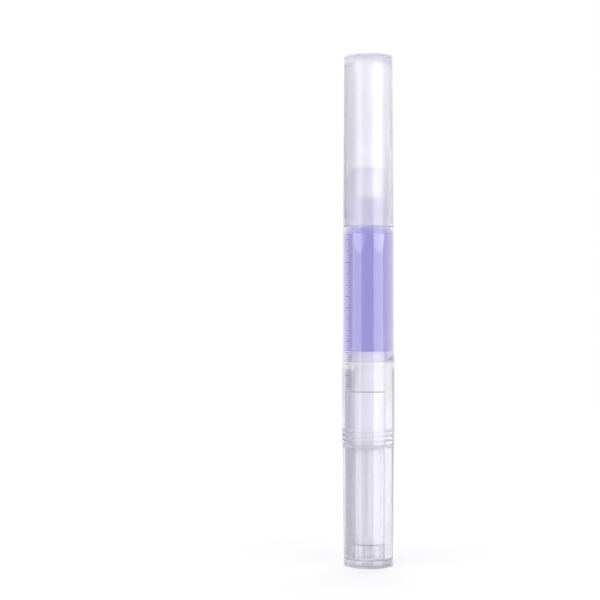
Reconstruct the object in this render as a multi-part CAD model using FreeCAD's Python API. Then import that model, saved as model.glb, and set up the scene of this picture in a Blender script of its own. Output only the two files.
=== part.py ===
import FreeCAD, Part
import math
import os

# Twist-feed nail oil pen with a brush tip, in millimetres. The pen stands on its knob end:
# +Z runs up its axis to the cap, and the origin is the centre of the foot.
# Turning the knob turns a flat-sided screw through a fixed nut, and the screw pushes a piston that
# feeds oil along the clear barrel, through the nozzle's tube and into the brush under the cap.

# Clearances
press_gap = 0.02        # between pieces pressed or snapped together for good
slide_gap = 0.05        # between pieces that slide on each other
running_gap = 0.1       # between pieces that turn on each other
thread_gap = 0.06       # between the crests of the screw and the nut

# Lengths along the axis, from the foot up
foot_height = 2.0           # flange of the end plug
spigot_height = 3.4         # end plug's stem inside the knob
tail_gap = 0.4              # end plug to the screw's tail, drawn right back
feed_stroke = 27.0          # travel of the piston
drive_hole_rise = 3.45      # lower end of the flat-sided drive hole above the knob's mouth
drive_hole_height = 3.4
sleeve_flange_height = 0.35
nut_length = 12.95
piston_gap = 0.15           # nut to piston, drawn right back
piston_body_height = 7.1
piston_nose_height = 2.6
front_gap = 1.8             # piston's nose, pushed right forward, to the end of the bore
throat_height = 1.4         # cone from the bore to the neck
shoulder_web = 0.3          # from the throat's small end up to the shoulder that stops the cap
neck_height = 14.1
plug_depth = 7.2            # nozzle's plug inside the neck
collar_height = 1.2
nozzle_cone_height = 10.8
bristle_reach = 11.6        # bristles beyond the nozzle
cap_tip_gap = 2.2           # bristle tips to the cap's ceiling
cap_crown = 2.0             # thickness of the cap's closed end

# Screw, and what turns it, from the axis out
screw_radius = 1.75
screw_flat_depth = 0.45     # cut away at each of the two flats
screw_neck_step = 0.35      # screw to the neck behind its head
screw_head_step = 0.45      # screw to the rim of its head
screw_head_height = 1.2
head_play = 0.1             # end play of the head in the piston
screw_way_room = 0.2        # screw to the bore of the sleeve's neck, below the drive hole
drive_neck_wall = 0.75
snap_bead_width = 0.5
snap_bead_proud = 0.22
snap_bead_drop = 0.7        # bead below the top of the neck

# Drive sleeve inside the knob
sleeve_bore_room = 0.65     # way of the screw in the neck to the sleeve's own bore
sleeve_wall = 1.2
sleeve_foot_gap = 0.3       # sleeve to the end plug
sleeve_rib_count = 8
sleeve_rib_width = 0.9
sleeve_rib_height = 0.38
sleeve_rib_lead = 2.0       # ribs start this far above the sleeve's foot
sleeve_web = 0.8            # floor under the flange, where the bore narrows

# Ratchet between the click ring and the drive nut
ring_height = 2.0
ring_lift = 0.3             # click ring above the sleeve's flange
ring_wall = 0.3
key_count = 2
key_width = 0.9
key_depth = 0.3
pawl_count = 3
pawl_arm_gap = 0.1          # ring to the pawls' arms
pawl_arm_wall = 0.2
pawl_arm_degrees = 72.0
pawl_root_degrees = 14.0
pawl_degrees = 11.0
pawl_clearance = 0.06
tooth_count = 12
tooth_room = 0.15           # pawls' arms to the tips of the teeth
tooth_depth = 0.35
tooth_pocket_depth = 2.8

# Nut, and the rings that hold it in the barrel
nut_wall = 0.53             # behind the teeth
nut_ring_count = 3
nut_ring_pitch = 1.1
nut_ring_rise = 1.2         # first ring above the barrel's rear face
nut_ring_width = 0.6
nut_ring_proud = 0.15

# Barrel and neck
nut_socket_step = 0.15      # nut's socket wider than the bore
barrel_wall = 2.22          # round the bore, at the barrel's rear
barrel_taper = 0.23         # how much slimmer the barrel's front is
rear_land = 20.2            # length of the wider rear cylinder
taper_length = 9.0
throat_step = 0.8           # bore to the neck's bore
neck_bead_rise = 4.0        # bead above the shoulder
neck_bead_width = 0.9
neck_bead_proud = 0.18
rim_bevel = 0.2             # eased edges of the moulded rims

# Cap
cap_lip_step = 0.04         # barrel's front to the cap's lip
cap_draft = 0.23            # cap's lip to its closed end
cap_wall = 0.85             # at the lip
cap_neck_room = 0.4         # neck to the cap's bore at the lip
cap_bore_draft = 0.25
cap_ridge_width = 0.9       # ridge in the cap that clicks over the neck's bead
cap_top_round = 0.4

# Knob and end plug
knob_step = 0.09            # barrel's rear to the knob's mouth
knob_draft = 0.29           # knob's mouth to its foot
flange_step = 0.05          # knob's mouth to the rim of the sleeve's flange
foot_round = 0.5
foot_rim = 2.14             # knob's foot to the dish in the end plug
foot_dish_depth = 0.35
spigot_wall_gap = 0.25      # spigot's core to the knob's bore
crush_rib_count = 20
crush_rib_section = 0.22

# Piston
lip_land = 0.5              # height of each sealing lip's edge
lip_flare = 1.4             # height over which a lip flares from the waist
lip_depth = 0.65            # lip's edge to the waist
nose_root_step = 0.2        # waist to the root of the nose
nose_taper = 0.5            # root of the nose to its blunt tip
nose_bevel = 0.3
skirt_depth = 2.3           # hollow behind the web that holds the screw's head
skirt_wall = 0.9            # at the waist
piston_web = 1.0

# Nozzle, feed tube and bristles
plug_core_gap = 0.2         # plug between its sealing rings to the neck's bore
plug_ring_count = 2
plug_ring_height = 0.9
plug_ring_rise = 1.0        # lower ring above the plug's end
plug_ring_pitch = 3.0
collar_step = 0.6           # neck to the rim of the collar
cone_root_step = 0.2        # neck's bore to the root of the cone
cone_tip_wall = 0.4         # round the bristles
bristle_radius = 2.0
bristle_belly = 0.1         # swelling of the bundle beyond the nozzle
bristle_tip_round = 1.3
bristle_socket_depth = 5.0
tube_radius = 0.9
tube_wall = 0.35
tube_dip = 0.5              # lower end of the tube above the plug's end
tube_reach = 3.8            # tube beyond the nozzle, among the bristles

# Radii worked out from the screw outwards
screw_flat = screw_radius - screw_flat_depth
screw_neck_radius = screw_radius - screw_neck_step
screw_head_radius = screw_radius + screw_head_step
screw_way_radius = screw_radius + screw_way_room
drive_neck_radius = screw_way_radius + drive_neck_wall
ring_radius = drive_neck_radius + ring_wall
pawl_arm_inner_radius = ring_radius + pawl_arm_gap
pawl_arm_radius = pawl_arm_inner_radius + pawl_arm_wall
tooth_tip_radius = pawl_arm_radius + tooth_room
tooth_root_radius = tooth_tip_radius + tooth_depth
nut_radius = tooth_root_radius + nut_wall
nut_socket_radius = nut_radius + press_gap
bore_radius = nut_socket_radius - nut_socket_step
barrel_rear_radius = bore_radius + barrel_wall
barrel_front_radius = barrel_rear_radius - barrel_taper
cap_lip_radius = barrel_front_radius - cap_lip_step
cap_top_radius = cap_lip_radius - cap_draft
cap_bore_lip_radius = cap_lip_radius - cap_wall
cap_bore_top_radius = cap_bore_lip_radius - cap_bore_draft
neck_radius = cap_bore_lip_radius - cap_neck_room
neck_bore_radius = bore_radius - throat_step
collar_radius = neck_radius - collar_step
cone_root_radius = neck_bore_radius + cone_root_step
cone_tip_radius = bristle_radius + cone_tip_wall
tube_bore_radius = tube_radius - tube_wall
knob_mouth_radius = barrel_rear_radius - knob_step
knob_foot_radius = knob_mouth_radius - knob_draft
sleeve_flange_radius = knob_mouth_radius - flange_step
foot_dish_radius = knob_foot_radius - foot_rim
sleeve_bore_radius = screw_way_radius + sleeve_bore_room
sleeve_radius = sleeve_bore_radius + sleeve_wall
knob_bore_radius = sleeve_radius + sleeve_rib_height + press_gap
lip_radius = bore_radius - slide_gap
piston_waist_radius = lip_radius - lip_depth
nose_root_radius = piston_waist_radius - nose_root_step
nose_tip_radius = nose_root_radius - nose_taper
skirt_bore_radius = piston_waist_radius - skirt_wall

# Heights worked out from the stack
spigot_top = foot_height + spigot_height
screw_tail = spigot_top + tail_gap
drive_hole_foot = screw_tail + feed_stroke
knob_mouth = drive_hole_foot - drive_hole_rise
flange_top = knob_mouth + sleeve_flange_height
barrel_rear = flange_top + running_gap
drive_neck_top = drive_hole_foot + drive_hole_height
nut_top = barrel_rear + nut_length
piston_rear = nut_top + piston_gap
piston_face = piston_rear + piston_body_height
nose_tip = piston_face + piston_nose_height
bore_front = nose_tip + feed_stroke + front_gap
throat_top = bore_front + throat_height
shoulder = throat_top + shoulder_web
neck_top = shoulder + neck_height
plug_end = neck_top - plug_depth
collar_top = neck_top + collar_height
nozzle_tip = collar_top + nozzle_cone_height
bristle_tip = nozzle_tip + bristle_reach
cap_ceiling = bristle_tip + cap_tip_gap
cap_top = cap_ceiling + cap_crown
neck_bead_height = shoulder + neck_bead_rise
snap_bead_height = drive_neck_top - snap_bead_drop
ring_foot = flange_top + ring_lift

UP = FreeCAD.Vector(0, 0, 1)
CENTRE = FreeCAD.Vector(0, 0, 0)


def revolve(outline):
    """Solid turned about the axis from the (radius, height) corners of its half section."""
    corners = [FreeCAD.Vector(radius, 0, height) for radius, height in outline]
    section = Part.Face(Part.makePolygon(corners + corners[:1]))
    return section.revolve(CENTRE, UP, 360)


def cylinder(radius, low, high):
    return Part.makeCylinder(radius, high - low, FreeCAD.Vector(0, 0, low))


def ridge(foot_radius, crest_radius, height, width):
    """Corners, from its lower end up, of a ring or groove whose crest is half as wide as its foot."""
    return [
        (foot_radius, height - width / 2),
        (crest_radius, height - width / 4),
        (crest_radius, height + width / 4),
        (foot_radius, height + width / 2),
    ]


def rim(solid, radius, height):
    """Circular edges of this radius and height."""
    near = 1e-4
    return [
        edge for edge in solid.Edges
        if isinstance(edge.Curve, Part.Circle)
        and abs(edge.Curve.Radius - radius) < near
        and abs(edge.Curve.Center.z - height) < near
    ]


def round_rim(solid, radius, height, rounding):
    return solid.makeFillet(rounding, rim(solid, radius, height))


def bevel_rim(solid, radius, height, bevel):
    return solid.makeChamfer(bevel, rim(solid, radius, height))


def around(solid, count):
    """Copies of a solid spread evenly about the axis."""
    copies = []
    for number in range(count):
        copy = solid.copy()
        copy.rotate(CENTRE, UP, 360 * number / count)
        copies.append(copy)
    return copies


def polar(radius, degrees, height):
    angle = math.radians(degrees)
    return FreeCAD.Vector(radius * math.cos(angle), radius * math.sin(angle), height)


def sector(inner, outer, start, end, low, high):
    """Part of a ring between two angles in degrees."""
    middle = (start + end) / 2
    outer_arc = Part.Arc(polar(outer, start, low), polar(outer, middle, low), polar(outer, end, low))
    inner_arc = Part.Arc(polar(inner, end, low), polar(inner, middle, low), polar(inner, start, low))
    edges = [
        outer_arc.toShape(),
        Part.makeLine(polar(outer, end, low), polar(inner, end, low)),
        inner_arc.toShape(),
        Part.makeLine(polar(inner, start, low), polar(outer, start, low)),
    ]
    return Part.Face(Part.Wire(edges)).extrude(FreeCAD.Vector(0, 0, high - low))


def flat_sided(radius, flat, low, high):
    """Round bar with two opposite flats, at this distance from the axis."""
    size = 2 * radius
    slab = Part.makeBox(size, 2 * flat, high - low, FreeCAD.Vector(-radius, -flat, low))
    return cylinder(radius, low, high).common(slab)


def end_plug():
    """Pressed into the knob's foot: a dished flange the pen stands on, and a stem with crush ribs."""
    core = knob_bore_radius - spigot_wall_gap
    plug = revolve([
        (0, foot_dish_depth),
        (foot_dish_radius, foot_dish_depth),
        (foot_dish_radius + foot_dish_depth, 0),
        (knob_foot_radius, 0),
        (knob_foot_radius, foot_height),
        (core, foot_height),
        (core, spigot_top),
        (0, spigot_top),
    ])
    plug = round_rim(plug, knob_foot_radius, 0, foot_round)
    rib = cylinder(crush_rib_section, foot_height, spigot_top)
    rib.translate(FreeCAD.Vector(knob_bore_radius - press_gap - crush_rib_section, 0, 0))
    return plug.fuse(around(rib, crush_rib_count)).removeSplitter()


def knob_shell():
    """Clear tube with a slight draft, which the fingers turn."""
    shell = revolve([
        (knob_bore_radius, foot_height),
        (knob_foot_radius, foot_height),
        (knob_mouth_radius, knob_mouth),
        (knob_bore_radius, knob_mouth),
    ])
    return bevel_rim(shell, knob_mouth_radius, knob_mouth, rim_bevel)


def drive_sleeve():
    """Ribbed sleeve pressed into the knob, with a flange at the seam and a neck that turns the screw."""
    sleeve_foot = spigot_top + sleeve_foot_gap
    bore_top = knob_mouth - sleeve_web
    sleeve = revolve([
        (sleeve_bore_radius, sleeve_foot),
        (sleeve_radius, sleeve_foot),
        (sleeve_radius, knob_mouth),
        (sleeve_flange_radius, knob_mouth),
        (sleeve_flange_radius, flange_top),
        (drive_neck_radius, flange_top),
        *ridge(drive_neck_radius, drive_neck_radius + snap_bead_proud, snap_bead_height, snap_bead_width),
        (drive_neck_radius, drive_neck_top),
        (0, drive_neck_top),
        (0, drive_hole_foot),
        (screw_way_radius, drive_hole_foot),
        (screw_way_radius, bore_top),
        (sleeve_bore_radius, bore_top),
    ])
    rib_reach = knob_bore_radius - press_gap
    rib = Part.makeBox(
        rib_reach - sleeve_bore_radius - press_gap,
        sleeve_rib_width,
        knob_mouth - sleeve_foot - sleeve_rib_lead,
        FreeCAD.Vector(sleeve_bore_radius + press_gap, -sleeve_rib_width / 2, sleeve_foot + sleeve_rib_lead),
    )
    rib = rib.common(cylinder(rib_reach, sleeve_foot, knob_mouth))
    rib = rib.cut(cylinder((sleeve_radius + sleeve_bore_radius) / 2, sleeve_foot, knob_mouth))
    sleeve = sleeve.fuse(around(rib, sleeve_rib_count))
    hole = flat_sided(
        screw_radius + thread_gap, screw_flat + thread_gap, drive_hole_foot, drive_neck_top
    )
    slots = around(key(ring_foot + ring_height, 0), key_count)
    return sleeve.cut([hole] + slots).removeSplitter()


def key(high, gap):
    """One key of the click ring, or its slot in the sleeve's neck where no gap is left round it."""
    inner = drive_neck_radius - key_depth + gap
    block = Part.makeBox(
        drive_neck_radius + press_gap - inner,
        key_width - 2 * gap,
        high - flange_top - gap,
        FreeCAD.Vector(inner, -key_width / 2 + gap, flange_top + gap),
    )
    return block


def tooth_flank(degrees):
    """Radius of a ratchet tooth's long flank, this far past its step."""
    pitch = 360 / tooth_count
    return tooth_root_radius + (tooth_tip_radius - tooth_root_radius) * degrees / pitch


def click_ring():
    """Ring keyed to the sleeve's neck, whose spring pawls click over the nut's teeth and lock backwards."""
    ring_top = ring_foot + ring_height
    inner = drive_neck_radius + press_gap
    ring = cylinder(ring_radius, ring_foot, ring_top).cut(cylinder(inner, ring_foot, ring_top))
    pieces = around(keyed_lug(), key_count)
    arm_end = pawl_clearance_degrees() + pawl_arm_degrees
    arm = sector(
        pawl_arm_inner_radius, pawl_arm_radius, pawl_clearance_degrees(), arm_end, ring_foot, ring_top
    )
    root = sector(inner, pawl_arm_radius, arm_end - pawl_root_degrees, arm_end, ring_foot, ring_top)
    for piece in (arm, root, pawl()):
        pieces += around(piece, pawl_count)
    return ring.fuse(pieces).removeSplitter()


def keyed_lug():
    """Key of the click ring, from its slot in the neck out into the ring."""
    lug = key(ring_foot + ring_height, press_gap)
    outer = (ring_radius + drive_neck_radius) / 2
    lug = lug.fuse(Part.makeBox(
        outer - drive_neck_radius,
        key_width - 2 * press_gap,
        ring_height,
        FreeCAD.Vector(drive_neck_radius, -key_width / 2 + press_gap, ring_foot),
    ))
    return lug.common(cylinder(ring_radius, ring_foot, ring_foot + ring_height))


def pawl_clearance_degrees():
    """Angle that the pawl's clearance takes up at the tooth's root."""
    return math.degrees(pawl_clearance / tooth_root_radius)


def pawl():
    """Wedge at an arm's free end: steep at the back, and in front sloped like the tooth's flank."""
    start = pawl_clearance_degrees()
    end = start + pawl_degrees
    corners = [
        polar(pawl_arm_inner_radius, start, ring_foot),
        polar(tooth_flank(start) - pawl_clearance, start, ring_foot),
        polar(pawl_arm_radius, end, ring_foot),
        polar(pawl_arm_inner_radius, end, ring_foot),
    ]
    face = Part.Face(Part.makePolygon(corners + corners[:1]))
    return face.extrude(FreeCAD.Vector(0, 0, ring_height))


def drive_nut():
    """Fixed in the barrel's rear: ratchet teeth, a bearing for the sleeve's neck, and the screw's nut."""
    bearing_radius = drive_neck_radius + running_gap
    hole_radius = screw_radius + thread_gap
    neck_room = drive_neck_top + running_gap
    groove_reach = snap_bead_width / 2 + running_gap
    groove_radius = drive_neck_radius + snap_bead_proud + running_gap
    pocket_top = barrel_rear + tooth_pocket_depth
    nut = revolve([
        (bearing_radius, barrel_rear),
        (nut_radius, barrel_rear),
        *nut_rings(0),
        (nut_radius, nut_top),
        (hole_radius, nut_top),
        (hole_radius, neck_room),
        (bearing_radius, neck_room),
        (bearing_radius, snap_bead_height + groove_reach),
        (groove_radius, snap_bead_height + groove_reach),
        (groove_radius, snap_bead_height - groove_reach),
        (bearing_radius, snap_bead_height - groove_reach),
    ])
    corners = []
    for tooth in range(tooth_count):
        step = 360 * tooth / tooth_count
        next_step = 360 * (tooth + 1) / tooth_count
        corners.append(polar(tooth_root_radius, step, barrel_rear))
        corners.append(polar(tooth_tip_radius, next_step, barrel_rear))
    teeth = Part.Face(Part.makePolygon(corners + corners[:1]))
    pocket = teeth.extrude(FreeCAD.Vector(0, 0, pocket_top - barrel_rear))
    return nut.cut(pocket).removeSplitter()


def nut_rings(gap):
    """Corners of the nut's retaining rings, or of their grooves in the barrel where a gap is left."""
    corners = []
    for number in range(nut_ring_count):
        height = barrel_rear + nut_ring_rise + number * nut_ring_pitch
        crest = nut_radius + nut_ring_proud + gap
        corners += ridge(nut_radius + gap, crest, height, nut_ring_width + 2 * gap)
    return corners


def lead_screw():
    """Flat-sided screw with a snap head that turns in the piston. It stands drawn right back."""
    web_top = piston_rear + skirt_depth + piston_web
    shaft_top = piston_rear + skirt_depth - head_play
    head_foot = web_top + head_play
    shaft = flat_sided(screw_radius, screw_flat, screw_tail, shaft_top)
    neck = cylinder(screw_neck_radius, shaft_top, head_foot)
    head = revolve([
        (0, head_foot),
        (screw_head_radius, head_foot),
        (screw_neck_radius, head_foot + screw_head_height),
        (0, head_foot + screw_head_height),
    ])
    return shaft.fuse([neck, head]).removeSplitter()


def piston():
    """Soft moulding with a sealing lip at each end, a blunt nose, and a snap socket for the screw."""
    web_foot = piston_rear + skirt_depth
    web_top = web_foot + piston_web
    head_room = web_top + screw_head_height + 2 * head_play
    waist_foot = piston_rear + lip_land + lip_flare
    waist_top = piston_face - lip_land - lip_flare
    socket_radius = screw_head_radius + running_gap
    body = revolve([
        (skirt_bore_radius, piston_rear),
        (lip_radius, piston_rear),
        (lip_radius, piston_rear + lip_land),
        (piston_waist_radius, waist_foot),
        (piston_waist_radius, waist_top),
        (lip_radius, piston_face - lip_land),
        (lip_radius, piston_face),
        (nose_root_radius, piston_face),
        (nose_tip_radius, nose_tip),
        (0, nose_tip),
        (0, head_room),
        (socket_radius, head_room),
        (socket_radius, web_top),
        (screw_neck_radius + running_gap, web_top),
        (screw_neck_radius + running_gap, web_foot),
        (skirt_bore_radius, web_foot),
    ])
    return bevel_rim(body, nose_tip_radius, nose_tip, nose_bevel)


def barrel():
    """Clear moulded barrel: nut socket, oil bore, throat, and the neck that the cap clicks on to."""
    taper_foot = barrel_rear + rear_land
    body = revolve([
        (nut_socket_radius, barrel_rear),
        (barrel_rear_radius, barrel_rear),
        (barrel_rear_radius, taper_foot),
        (barrel_front_radius, taper_foot + taper_length),
        (barrel_front_radius, shoulder),
        (neck_radius, shoulder),
        *ridge(neck_radius, neck_radius + neck_bead_proud, neck_bead_height, neck_bead_width),
        (neck_radius, neck_top),
        (neck_bore_radius, neck_top),
        (neck_bore_radius, throat_top),
        (bore_radius, bore_front),
        (bore_radius, nut_top),
        (nut_socket_radius, nut_top),
        *reversed(nut_rings(press_gap)),
    ])
    body = bevel_rim(body, barrel_rear_radius, barrel_rear, rim_bevel)
    body = bevel_rim(body, barrel_front_radius, shoulder, rim_bevel)
    return bevel_rim(body, neck_radius, neck_top, rim_bevel)


def oil_column():
    """Oil ahead of the piston, which shortens as the piston comes forward."""
    oil_radius = bore_radius - press_gap
    return revolve([
        (0, nose_tip + slide_gap),
        (nose_tip_radius + slide_gap, nose_tip + slide_gap),
        (nose_root_radius + slide_gap, piston_face + slide_gap),
        (oil_radius, piston_face + slide_gap),
        (oil_radius, bore_front),
        (0, bore_front),
    ])


def oil_neck():
    """Oil standing in the throat and the neck, up to the nozzle's plug."""
    return revolve([
        (0, bore_front),
        (bore_radius - press_gap, bore_front),
        (neck_bore_radius - press_gap, throat_top),
        (neck_bore_radius - press_gap, plug_end),
        (0, plug_end),
    ])


def nozzle():
    """Brush holder: a plug with sealing rings in the neck, a collar on its rim, and a coned snout."""
    ring_radius_in_neck = neck_bore_radius - press_gap
    core_radius = neck_bore_radius - plug_core_gap
    way_radius = tube_radius + press_gap
    socket_radius = bristle_radius + press_gap
    socket_foot = nozzle_tip - bristle_socket_depth
    holder = revolve([
        (way_radius, plug_end),
        (core_radius, plug_end),
        (core_radius, neck_top),
        (collar_radius, neck_top),
        (collar_radius, collar_top),
        (cone_root_radius, collar_top),
        (cone_tip_radius, nozzle_tip),
        (socket_radius, nozzle_tip),
        (socket_radius, socket_foot),
        (way_radius, socket_foot),
    ])
    holder = bevel_rim(holder, cone_tip_radius, nozzle_tip, rim_bevel)
    holder = bevel_rim(holder, collar_radius, collar_top, rim_bevel)
    rings = []
    for number in range(plug_ring_count):
        low = plug_end + plug_ring_rise + number * plug_ring_pitch
        ring = cylinder(ring_radius_in_neck, low, low + plug_ring_height)
        rings.append(ring.cut(cylinder((way_radius + core_radius) / 2, low, low + plug_ring_height)))
    return holder.fuse(rings).removeSplitter()


def feed_tube():
    """Fine tube that carries oil through the nozzle into the middle of the bristles."""
    low = plug_end + tube_dip
    high = nozzle_tip + tube_reach
    return cylinder(tube_radius, low, high).cut(cylinder(tube_bore_radius, low, high))


def brush_bristles():
    """Round tuft of bristles, set round the feed tube and glued into the nozzle."""
    hole_radius = tube_radius + press_gap
    root = nozzle_tip - bristle_socket_depth
    tube_top = nozzle_tip + tube_reach + slide_gap
    belly_radius = bristle_radius + bristle_belly
    tuft = revolve([
        (hole_radius, root),
        (bristle_radius, root),
        (bristle_radius, nozzle_tip),
        (belly_radius, tube_top),
        (belly_radius, bristle_tip),
        (0, bristle_tip),
        (0, tube_top),
        (hole_radius, tube_top),
    ])
    return round_rim(tuft, belly_radius, bristle_tip, bristle_tip_round)


def cap():
    """Clear cap that stands on the barrel's shoulder, with a ridge that clicks over the neck's bead."""
    lip = shoulder + slide_gap
    ridge_radius = neck_radius + neck_bead_proud + slide_gap
    ridge_height = neck_bead_height - (neck_bead_width + cap_ridge_width) / 2
    ridge_foot = ridge_height - cap_ridge_width / 2
    ridge_top = ridge_height + cap_ridge_width / 2
    shell = revolve([
        (cap_bore_lip_radius, lip),
        (cap_lip_radius, lip),
        (cap_top_radius, cap_top),
        (0, cap_top),
        (0, cap_ceiling),
        (cap_bore_top_radius, cap_ceiling),
        (cap_bore(ridge_top), ridge_top),
        (ridge_radius, ridge_height + cap_ridge_width / 4),
        (ridge_radius, ridge_height - cap_ridge_width / 4),
        (cap_bore(ridge_foot), ridge_foot),
    ])
    return round_rim(shell, cap_top_radius, cap_top, cap_top_round)


def cap_bore(height):
    """Radius of the cap's drafted bore at a height."""
    share = (height - shoulder - slide_gap) / (cap_ceiling - shoulder - slide_gap)
    return cap_bore_lip_radius - cap_bore_draft * share


PIECES = (
    end_plug,
    knob_shell,
    drive_sleeve,
    click_ring,
    drive_nut,
    lead_screw,
    piston,
    barrel,
    oil_column,
    oil_neck,
    nozzle,
    feed_tube,
    brush_bristles,
    cap,
)

os.makedirs("parts", exist_ok=True)
for make in PIECES:
    piece = make()
    piece.exportStep(f"parts/{make.__name__}.step")
    print(f"{make.__name__}: {len(piece.Solids)} solid, {piece.Volume:.1f} cubic mm, valid {piece.isValid()}")
print(f"Overall height {cap_top:.2f} mm, piston travel {feed_stroke:.2f} mm")
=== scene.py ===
import math
import random

import bmesh
import bpy
from mathutils import Matrix, Vector


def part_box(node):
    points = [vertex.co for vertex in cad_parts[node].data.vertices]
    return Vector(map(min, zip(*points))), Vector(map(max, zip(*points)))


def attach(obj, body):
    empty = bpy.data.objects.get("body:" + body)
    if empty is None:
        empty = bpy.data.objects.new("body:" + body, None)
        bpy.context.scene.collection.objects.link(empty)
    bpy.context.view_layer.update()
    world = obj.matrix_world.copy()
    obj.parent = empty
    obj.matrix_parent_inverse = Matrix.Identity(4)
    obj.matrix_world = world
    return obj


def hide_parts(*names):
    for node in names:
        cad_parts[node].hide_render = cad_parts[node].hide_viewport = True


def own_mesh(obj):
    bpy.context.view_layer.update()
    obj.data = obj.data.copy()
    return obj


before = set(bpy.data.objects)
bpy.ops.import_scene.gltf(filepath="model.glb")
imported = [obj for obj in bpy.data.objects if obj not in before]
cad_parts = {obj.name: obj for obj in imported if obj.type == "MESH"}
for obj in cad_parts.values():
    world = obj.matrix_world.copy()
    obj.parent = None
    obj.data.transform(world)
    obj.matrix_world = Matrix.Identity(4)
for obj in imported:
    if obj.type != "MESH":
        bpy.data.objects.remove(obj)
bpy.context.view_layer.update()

# End plug: a clear polystyrene moulding that closes the knob's foot, and that the pen stands on.
# Its dished flange has a rounded edge and a matt underside, and the crush ribs on its stem hold it in
# the knob's bore. Sizes of the pen's pieces are in millimetres, and MM turns them into metres.
MM = 0.001
TURN_SEGMENTS = 128
SMALL_TURN_SEGMENTS = 48
SHARP_EDGE = math.radians(30)
LONG_RUN = 3
EDGE_GUARD = 0.8
ROUND_STEPS = 5
HAIR_ROUND = 0.05
FINE_ROUND = 0.08
EDGE_ROUND = 0.1
SOFT_ROUND = 0.15
LIP_ROUND = 0.2
CREST_ROUND = 0.25
BROAD_ROUND = 0.3
WIDE_ROUND = 0.4
SNUG_GAP = 0.02


def reach(node):
    """Lowest height, highest height and outer radius of a CAD node, in millimetres."""
    low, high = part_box(node)
    return low.z / MM, high.z / MM, high.x / MM


def at_angle(radius, angle):
    """A radius, or what a rule gives for it at an angle about the axis."""
    return radius(angle) if callable(radius) else radius


def guarded(points):
    """Outline with points near the ends of its long runs, which keep their shading straight."""
    outline = []
    for start, end in zip(points, points[1:] + points[:1]):
        outline.append(start)
        if callable(start[0]) or callable(end[0]) or start[0] == end[0] == 0:
            continue
        run = math.dist(start, end)
        if run > LONG_RUN:
            inset = (Vector(end) - Vector(start)) * EDGE_GUARD / run
            outline += [tuple(Vector(start) + inset), tuple(Vector(end) - inset)]
    return outline


def eased(corners):
    """Points of an outline, where a corner's third number is the radius that rounds it."""
    flat = [Vector((at_angle(corner[0], 0), corner[1])) for corner in corners]
    points = []
    for index, (radius, height, *rounding) in enumerate(corners):
        if not rounding:
            points.append((radius, height))
            continue
        corner = flat[index]
        back = (flat[index - 1] - corner).normalized()
        ahead = (flat[(index + 1) % len(flat)] - corner).normalized()
        half = back.angle(ahead) / 2
        run = rounding[0] / math.tan(half)
        centre = corner + (back + ahead).normalized() * rounding[0] / math.sin(half)
        start = corner + back * run - centre
        end = corner + ahead * run - centre
        turn = math.copysign(math.pi - 2 * half, start.x * end.y - start.y * end.x)
        for step in range(ROUND_STEPS + 1):
            point = centre + Matrix.Rotation(turn * step / ROUND_STEPS, 2) @ start
            points.append((point.x, point.y))
    return guarded(points)


def finished(name, form):
    """Object from a built form, with smooth faces and its real edges kept sharp."""
    bmesh.ops.recalc_face_normals(form, faces=form.faces)
    for face in form.faces:
        face.smooth = True
    for edge in form.edges:
        edge.smooth = edge.calc_face_angle(0) < SHARP_EDGE
    mesh = bpy.data.meshes.new(name)
    form.to_mesh(mesh)
    form.free()
    piece = bpy.data.objects.new(name, mesh)
    bpy.context.scene.collection.objects.link(piece)
    return piece


def turned(name, corners, segments=TURN_SEGMENTS):
    """Closed body about the axis, from the corners of its half section in millimetres."""
    form = bmesh.new()
    rings = []
    for radius, height in eased(corners):
        if radius == 0:
            rings.append([form.verts.new((0, 0, height * MM))] * segments)
            continue
        ring = []
        for step in range(segments):
            angle = 2 * math.pi * step / segments
            out = at_angle(radius, angle) * MM
            ring.append(form.verts.new((out * math.cos(angle), out * math.sin(angle), height * MM)))
        rings.append(ring)
    for lower, upper in zip(rings, rings[1:] + rings[:1]):
        for step in range(segments):
            after = (step + 1) % segments
            around = dict.fromkeys((lower[step], lower[after], upper[after], upper[step]))
            if len(around) > 2:
                form.faces.new(around)
    return finished(name, form)


def add_node(tree, kind, inputs=None, **settings):
    """New shader node with its settings, and with numbers, colours or links on its inputs."""
    made = tree.nodes.new("ShaderNode" + kind)
    for setting, value in settings.items():
        setattr(made, setting, value)
    for name, value in (inputs or {}).items():
        if isinstance(value, bpy.types.NodeSocket):
            tree.links.new(value, made.inputs[name])
        else:
            made.inputs[name].default_value = value
    return made


def maths(tree, operation, first, second=0.0):
    """Result of a sum on two numbers or links."""
    return add_node(tree, "Math", {0: first, 1: second}, operation=operation).outputs[0]


def mixed(tree, factor, first, second):
    """Colour between two colours, by the sockets that the Mix node keeps for colours."""
    blend = add_node(tree, "Mix", {0: factor, 6: first, 7: second}, data_type="RGBA")
    return blend.outputs[2]


def noise(tree, place, scale, detail):
    """Noise from 0 to 1 over a place in metres."""
    return add_node(tree, "TexNoise", {"Vector": place, "Scale": scale, "Detail": detail}).outputs[0]


def new_group(name, inputs, outputs):
    """Empty node group with number inputs and the outputs that feed a material."""
    group = bpy.data.node_groups.new(name, "ShaderNodeTree")
    for label, value in inputs.items():
        socket = group.interface.new_socket(label, in_out="INPUT", socket_type="NodeSocketFloat")
        socket.default_value = value
    for label in outputs:
        group.interface.new_socket(label, in_out="OUTPUT", socket_type="NodeSocketFloat")
    return group, group.nodes.new("NodeGroupInput"), group.nodes.new("NodeGroupOutput")


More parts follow.
